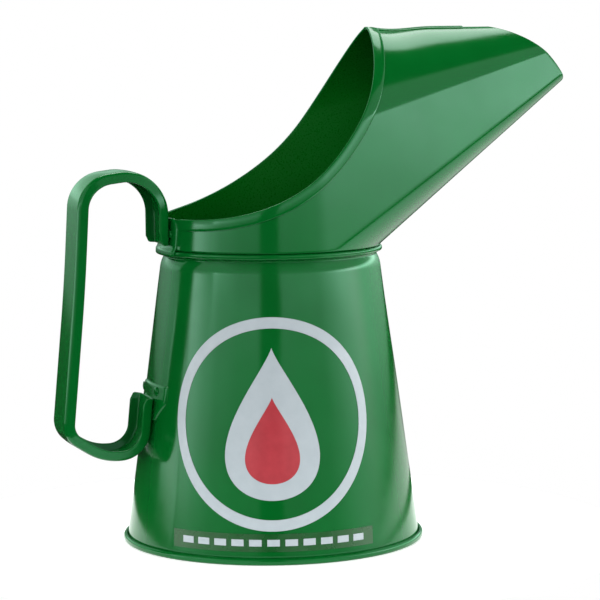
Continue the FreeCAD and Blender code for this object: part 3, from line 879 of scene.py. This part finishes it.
def top_tab_line():
    """(height, gap off the wall, share of the way to the plate's full width, thickness)."""
    line = [(119.5, 0.6, 0.86, 0.35), (119.9, 0.6, 0.94, 0.7), (121.7, 0.6, 0.97, 0.8)]
    line += [(122.7, 0.15, 0.98, 0.75), (123.7, 0.05, 1.0, 0.6), (127.0, 0.05, 1.0, 0.6)]
    return line + [(131.0, 0.05, 0.96, 0.6), (133.0, 0.05, 0.7, 0.7), (134.9, 0.05, 0.0, 0.9)]


def low_tab_line():
    """The same four values for the lower plate."""
    line = [(67.4, 0.05, 0.88, 0.5), (67.0, 0.05, 1.0, 0.8), (64.0, 0.05, 1.0, 0.8)]
    return line + [(60.0, 0.05, 0.96, 0.8), (57.0, 0.05, 0.55, 0.9), (53.0, 0.05, 0.0, 0.9)]


def add_tab(builder, line, half_width, aside):
    """A plate wrapped round the wall, its side edges worn down to soft slopes."""
    shares = np.linspace(-1, 1, 33)
    turns = np.linspace(0, math.pi / 2, 7)[1:]
    line = np.array(line)
    span = np.linspace(0, len(line) - 1, 4 * len(line))
    heights = [np.interp(span, np.arange(len(line)), column) for column in line.T]
    rows = []
    for z, gap, share, thick in zip(*heights):
        flat = TAB_END_HALF_W + (half_width - TAB_END_HALF_W) * share - TAB_SLOPE_W
        slope = flat + TAB_SLOPE_W * np.sin(turns)
        y = np.concatenate([shares * flat, slope, -shares * flat, -slope[::-1]]) + aside * share
        fall = thick * np.cos(turns)
        height = np.concatenate([0 * shares + thick, fall, 0 * shares, fall[::-1]])
        reach = wall_r(z) + gap + height
        rows.append(np.stack([-np.sqrt(reach ** 2 - y ** 2), y, 0 * y + z], 1))
    builder.grid(rows, closed_rows=True, cap=True)


def weld_button(z, y, size):
    """Rings of a flattened dome that stands on a tab."""
    reach = wall_r(z) + TAB_GAP + STRAP_T
    angle = math.pi - math.asin(y / reach)
    out = np.array([math.cos(angle), math.sin(angle), 0])
    flat = np.array([-math.sin(angle), math.cos(angle), 0])
    centre = out * reach + [0, 0, z]
    rows = []
    for tilt in np.linspace(-0.35, math.pi / 2, 9):
        ring = []
        for turn in np.linspace(0, 2 * math.pi, 24, endpoint=False):
            across = flat * math.cos(turn) + np.array([0, 0, 1.0]) * math.sin(turn)
            wobble = size * (1 + 0.05 * math.sin(3 * turn + y))
            ring.append(centre + across * wobble * math.cos(tilt) + out * WELD_H * math.sin(tilt))
        rows.append(ring)
    return rows


def make_welds():
    """Flattened buttons of weld metal under the paint, two on each tab."""
    builder = Builder()
    for z, aside, size in WELDS:
        for y in (-aside, aside):
            rows = weld_button(z, y, size)
            first = len(builder.points)
            builder.grid(rows, closed_rows=True)
            builder.faces.append([first + j for j in range(len(rows[0]))])
            builder.kinds.append(OUTSIDE)
    return builder.make("weld_buttons", [ENAMEL], ["handle_spot_welds"])


# ---------------------------------------------------------------- artwork


def wrap(across, z, height):
    """A point of the artwork, from the distance round the wall and the height up it."""
    radius = body_radius(z)
    angle = across / radius - math.pi / 2 - ART_TURN
    reach = radius + ripple(np.mod(angle, 2 * math.pi), z) + height
    return np.stack([reach * np.cos(angle), reach * np.sin(angle), z], -1)


def patch(builder, across, z, faces, closed=False):
    """A thin wrapped film from grids of places, with its edges."""
    bottom, top = (wrap(across, z, height) for height in faces)
    builder.grid(top, closed_rows=closed)
    builder.grid(bottom, closed_rows=closed)
    builder.grid([top[0], bottom[0]], closed_rows=closed)
    builder.grid([top[-1], bottom[-1]], closed_rows=closed)
    if not closed:
        builder.grid([top[:, 0], bottom[:, 0]])
        builder.grid([top[:, -1], bottom[:, -1]])


def make_ring():
    turn = np.linspace(0, 2 * math.pi, 240, endpoint=False)
    radii = np.linspace(EMBLEM_R - EMBLEM_RING_W, EMBLEM_R, 5)[:, None]
    builder = Builder()
    patch(builder, radii * np.sin(turn), EMBLEM_Z + radii * np.cos(turn), VINYL, True)
    return builder.make("emblem_ring_film", [PALE], ["emblem_ring"])


def drop_places(half_width, half_height, down):
    """Rings of places that fill an oil drop."""
    turn = np.linspace(0, 2 * math.pi, 120, endpoint=False)
    across = 1.3 * half_width * np.sin(turn) * np.sin(turn / 2) ** 1.5
    z = half_height * np.cos(turn)
    sizes = np.linspace(0.0, 1, 12)[:, None]
    middle = -0.3 * half_height
    return sizes * across, EMBLEM_Z - down + middle + sizes * (z - middle)


def make_drop(name, places, faces, material, node):
    bottom, top = (wrap(*places, height) for height in faces)
    builder = Builder()
    builder.grid(top, closed_rows=True)
    builder.grid(bottom, closed_rows=True)
    builder.grid([top[-1], bottom[-1]], closed_rows=True)
    return builder.make(name, [material], [node])


def bar(builder, middle, width, z_range, faces, columns):
    across = middle + np.linspace(-width / 2, width / 2, columns)
    z = np.linspace(*z_range, 5)[:, None] + 0 * across
    patch(builder, across + 0 * z, z, faces)


def make_stripe():
    backing = Builder()
    bar(backing, 0, STRIPE_W, STRIPE_Z, BACKING, 70)
    backing.make("stripe_backing", [GREEN_FILM], ["stripe_film"])
    dashes = Builder()
    for index in range(DASHES):
        bar(dashes, (index - DASHES // 2) * DASH_PITCH, DASH_W, DASH_Z, DASH_INK, 8)
    dashes.make("stripe_dashes", [PALE], ["stripe_print"])


make_body()
make_base()
make_spout()
make_hem()
make_ridge_lap()
make_handle()
make_welds()
make_ring()
drop = drop_places(DROP_HALF_W, DROP_HALF_H, 0.0)
make_drop("emblem_drop_film", drop, VINYL, PALE, "emblem_drop")
core = drop_places(CORE_HALF_W, CORE_HALF_H, CORE_DOWN)
make_drop("emblem_core_ink", core, CORE_INK, RED, "emblem_core")
make_stripe()

for name in ("base_seam_compound", "neck_seam_compound"):
    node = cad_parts[name]
    node.data.materials.clear()
    node.data.materials.append(COMPOUND)


# ---------------------------------------------------------------- studio


def glow(name, colour, strength):
    material = bpy.data.materials.new(name)
    material.use_nodes = True
    tree = material.node_tree
    tree.nodes.remove(tree.nodes["Principled BSDF"])
    emission = tree.nodes.new("ShaderNodeEmission")
    emission.inputs["Color"].default_value = (*colour, 1)
    emission.inputs["Strength"].default_value = strength
    tree.links.new(emission.outputs["Emission"], tree.nodes["Material Output"].inputs["Surface"])
    return material


def stage_mesh(name, rows, material):
    mesh = bpy.data.meshes.new(name)
    rows = np.asarray(rows, float)
    count, width, _ = rows.shape
    faces = []
    for i in range(count - 1):
        for j in range(width - 1):
            faces.append((i * width + j, i * width + j + 1, (i + 1) * width + j + 1, (i + 1) * width + j))
    mesh.from_pydata(rows.reshape(-1, 3).tolist(), [], faces)
    mesh.shade_smooth()
    mesh.materials.append(material)
    piece = bpy.data.objects.new(name, mesh)
    bpy.context.scene.collection.objects.link(piece)
    return piece


# The set is in metres.  The camera stands this far round from -Y, towards -X
CAMERA_AZ = math.radians(17.6)
CAMERA_DISTANCE = 1.0508
CAMERA_Z = 0.21293
AHEAD = np.array([math.sin(CAMERA_AZ), math.cos(CAMERA_AZ), 0.0])
RIGHT = np.array([math.cos(CAMERA_AZ), -math.sin(CAMERA_AZ), 0.0])
UP = np.array([0.0, 0.0, 1.0])


def from_camera(degrees_left, radius, z):
    """A place round the jug, by its bearing to the left of the camera, seen from the jug's side."""
    bearing = -math.pi / 2 - CAMERA_AZ - math.radians(degrees_left)
    return (radius * math.cos(bearing), radius * math.sin(bearing), z)


# Brightness of the set as the jug sees it, by bearing to the left of the camera
GLOW = [
    (-180, 0.6), (-165, 1.6), (-147, 3.2), (-137, 4.0), (-122, 5.2), (-105, 6.8), (-90, 8.2),
    (-76, 6.6), (-62, 3.7), (-50, 1.9), (-30, 1.5), (-10, 1.5), (-7.5, 0.0), (9, 0.0), (12, 1.4),
    (32, 1.7), (52, 3.0), (66, 6.4), (75, 9.6), (83, 10.5), (87, 0.0), (107, 0.0), (110, 2.6),
    (125, 3.2), (140, 2.2), (152, 1.5), (165, 0.9), (180, 0.6),
]
# Share of that brightness by height up the wall
WALL_FADE = [
    (0.0, 0.15), (0.10, 0.30), (0.14, 0.36), (0.20, 0.42), (0.26, 0.54), (0.30, 0.82), (0.35, 1.2),
    (0.42, 1.0), (0.50, 0.70), (0.80, 0.42), (1.20, 0.30), (1.75, 0.20), (1.96, 0.0),
]
BACK_TINT = (0.62, 1.0, 0.80)
# Height above which, and bearing to the left of which, the wall is no brighter than a level
CAPS = [(0.45, -181, 1.0), (0.28, 60, 1.6)]
# The dark gap between two lights doesn't reach the floor
GAP = (85, 109)
GAP_LOW_Z = 0.15
GAP_FILL = 3.2
CARD_GLOW = [(-165, 0.0), (-150, 0.9), (-133, 1.3), (-110, 1.8), (-88, 2.2), (-60, 2.0), (-45, 0.0)]
CARD_RINGS = [(0.205, 1.0), (0.45, 1.0), (0.75, 0.8)]       # (radius, share of the glow)
CARD_Z = 0.0005
LIGHT_WALL_R = 1.5
FILL_WALL_R = 1.4
FILL_WALL_TOP_Z = 1.9
FILL_GLOW = 1.9
FLOOR_RADII = (0.0, 0.08, 0.15)
FLOOR_GLOW = 0.40
BACKDROP_R = 6.0
TOP_LIGHT_Z = 1.65
TOP_LIGHT_AHEAD = (0.42, 1.5)
TOP_LIGHT_HALF_W = 0.62
TOP_LIGHT_GLOW = 5.2
WORLD_GLOW = 0.02


def lit_from_levels(piece, levels):
    """Gives a stage mesh a glow of its own at each point."""
    level = piece.data.color_attributes.new("level", "FLOAT_COLOR", "POINT")
    level.data.foreach_set("color", np.concatenate([levels, np.ones((len(levels), 1))], 1).ravel())
    tree = piece.data.materials[0].node_tree
    attribute = tree.nodes.new("ShaderNodeAttribute")
    attribute.attribute_name = "level"
    tree.links.new(attribute.outputs["Color"], tree.nodes["Emission"].inputs["Color"])
    piece.visible_camera = False


def light_wall():
    """A bright curved wall round the set, darker near the floor and at its top edge."""
    stops, levels = zip(*GLOW)
    bearings = np.linspace(stops[0], stops[-1], 361)
    heights, strengths = zip(*WALL_FADE)
    rows = [[from_camera(a, LIGHT_WALL_R, z) for a in bearings] for z in heights]
    wall = stage_mesh("light_wall", rows, glow("light_wall", (1, 1, 1), 1.0))
    behind = np.clip((np.abs(bearings) - 95) / 15, 0, 1)[:, None]
    tints = 1 - behind * (1 - np.array(BACK_TINT))
    glows = np.outer(strengths, np.interp(bearings, stops, levels))
    in_gap = (bearings > GAP[0]) & (bearings < GAP[1])
    below = np.array(heights) < GAP_LOW_Z
    glows[np.ix_(below, in_gap)] = GAP_FILL
    for above_z, first, most in CAPS:
        capped = np.ix_(np.array(heights) > above_z, bearings > first)
        glows[capped] = np.minimum(glows[capped], most)
    lit_from_levels(wall, (glows[:, :, None] * tints).reshape(-1, 3))


def fill_wall():
    """Even soft light from all round, which the jug's gloss doesn't pick up."""
    bearings = range(-180, 181, 5)
    rows = [[from_camera(a, FILL_WALL_R, z) for a in bearings] for z in (0.0, FILL_WALL_TOP_Z)]
    fill = stage_mesh("fill_wall", rows, glow("fill_wall", (1, 1, 1), FILL_GLOW))
    fill.visible_camera = False
    fill.visible_glossy = False
    fill.visible_shadow = False


def bounce_card():
    """A pale card on the floor to the jug's right, which lights the underside of the hood."""
    stops, levels = zip(*CARD_GLOW)
    bearings = np.linspace(stops[0], stops[-1], 61)
    radii, strengths = zip(*CARD_RINGS)
    rows = [[from_camera(a, radius, CARD_Z) for a in bearings] for radius in radii]
    card = stage_mesh("bounce_card", rows, glow("bounce_card", (1, 1, 1), 1.0))
    glows = np.outer(strengths, np.interp(bearings, stops, levels)).reshape(-1, 1)
    lit_from_levels(card, glows * np.ones(3))


def make_floor():
    """A small pale disc under the jug; the rest of what looks like floor is the backdrop."""
    material, principled = shader("floor_white", (0.88, 0.88, 0.88), 0.6)
    tree = material.node_tree
    grain = noise(tree, 14.0)
    colours = ((0.86, 0.86, 0.86), (0.90, 0.90, 0.90))
    tree.links.new(ramp(tree, grain, 0.3, 0.7, colours), principled.inputs["Base Color"])
    principled.inputs["Emission Color"].default_value = (1, 1, 1, 1)
    principled.inputs["Emission Strength"].default_value = FLOOR_GLOW
    turns = np.linspace(0, 2 * math.pi, 65)
    rows = [[(r * math.cos(t), r * math.sin(t), 0.0) for t in turns] for r in FLOOR_RADII]
    stage_mesh("floor", rows, material)


def backdrop():
    """White surroundings for the camera, which the jug's gloss doesn't pick up."""
    turns = np.linspace(0, 2 * math.pi, 49)
    rows = []
    for tilt in np.linspace(-0.5 * math.pi, 0.5 * math.pi, 25):
        reach, z = BACKDROP_R * math.cos(tilt), BACKDROP_R * math.sin(tilt)
        rows.append([(reach * math.cos(t), reach * math.sin(t), z) for t in turns])
    dome = stage_mesh("backdrop", rows, glow("backdrop", (1, 1, 1), 1.0))
    dome.visible_diffuse = False
    dome.visible_glossy = False
    dome.visible_shadow = False


def top_light():
    """A level panel above the set, behind the jug."""
    sides = (-TOP_LIGHT_HALF_W, TOP_LIGHT_HALF_W)
    rows = [[AHEAD * v + RIGHT * u + UP * TOP_LIGHT_Z for u in sides] for v in TOP_LIGHT_AHEAD]
    panel = stage_mesh("softbox_top", rows, glow("softbox_top", (1, 1, 1), TOP_LIGHT_GLOW))
    panel.visible_camera = False


make_floor()
backdrop()
light_wall()
fill_wall()
bounce_card()
top_light()

world = bpy.data.worlds.new("studio")
world.use_nodes = True
world.node_tree.nodes["Background"].inputs["Color"].default_value = (1, 1, 1, 1)
world.node_tree.nodes["Background"].inputs["Strength"].default_value = WORLD_GLOW
bpy.context.scene.world = world
bpy.context.scene.view_settings.view_transform = "Standard"


# ---------------------------------------------------------------- camera

YAW = math.radians(0.6626)
PITCH = math.radians(6.202)
ROLL = math.radians(0.605)
LENS = 152.886                          # millimetres, on a sensor 36 mm wide

level_ahead = AHEAD * math.cos(YAW) + RIGHT * math.sin(YAW)
level_right = RIGHT * math.cos(YAW) - AHEAD * math.sin(YAW)
look = level_ahead * math.cos(PITCH) - UP * math.sin(PITCH)
look_up = level_ahead * math.sin(PITCH) + UP * math.cos(PITCH)
frame_right = level_right * math.cos(ROLL) - look_up * math.sin(ROLL)
frame_up = level_right * math.sin(ROLL) + look_up * math.cos(ROLL)

camera_data = bpy.data.cameras.new("camera")
camera_data.sensor_width = 36.0
camera_data.lens = LENS
camera_data.clip_end = 20.0
camera = bpy.data.objects.new("camera", camera_data)
bpy.context.scene.collection.objects.link(camera)
place = UP * CAMERA_Z - AHEAD * CAMERA_DISTANCE
columns = np.stack([frame_right, frame_up, -look, place], 1)
camera.matrix_world = Matrix([*columns.tolist(), [0, 0, 0, 1]])
bpy.context.scene.camera = camera
